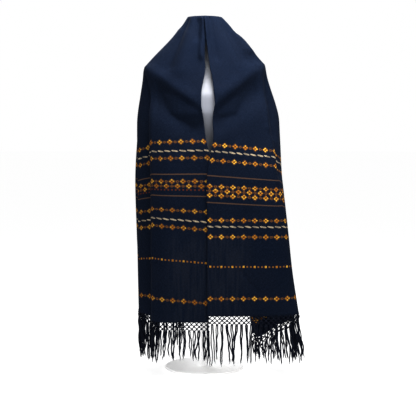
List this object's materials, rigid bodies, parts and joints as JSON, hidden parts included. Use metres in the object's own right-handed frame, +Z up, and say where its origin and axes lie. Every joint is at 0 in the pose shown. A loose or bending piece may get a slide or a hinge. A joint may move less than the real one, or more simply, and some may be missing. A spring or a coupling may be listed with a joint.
{
  "type": "rebozo shawl on dress form",
  "caption": "Long navy cotton shawl with woven orange bands and knotted fringes, draped from the neck cap over the shoulders of a limbless dress form on a round base.",
  "frame": {"origin": "centre of the round base's underside, on the floor under the pole", "axes": "+Z up, -Y towards the front of the form, +X towards its left shoulder, which is the viewer's right"},
  "size_m": [0.5682, 0.3245, 1.191],
  "materials": {
    "navy_cotton": "plain weave, matt",
    "navy_strands": "twisted yarn, matt",
    "form_white": "satin",
    "stand_white": "satin"
  },
  "bodies": {
    "root": {"shawl_neck": "navy_cotton", "shawl_left_front": "navy_cotton", "shawl_left_return": "navy_cotton", "shawl_right_front": "navy_cotton", "shawl_right_return": "navy_cotton", "left_net": "navy_strands", "right_net": "navy_strands", "left_fringe": "navy_strands", "right_fringe": "navy_strands", "form_torso": "form_white", "form_neck_cap": "form_white", "form_pole": "stand_white", "form_base": "stand_white"}
  },
  "joints": []
}
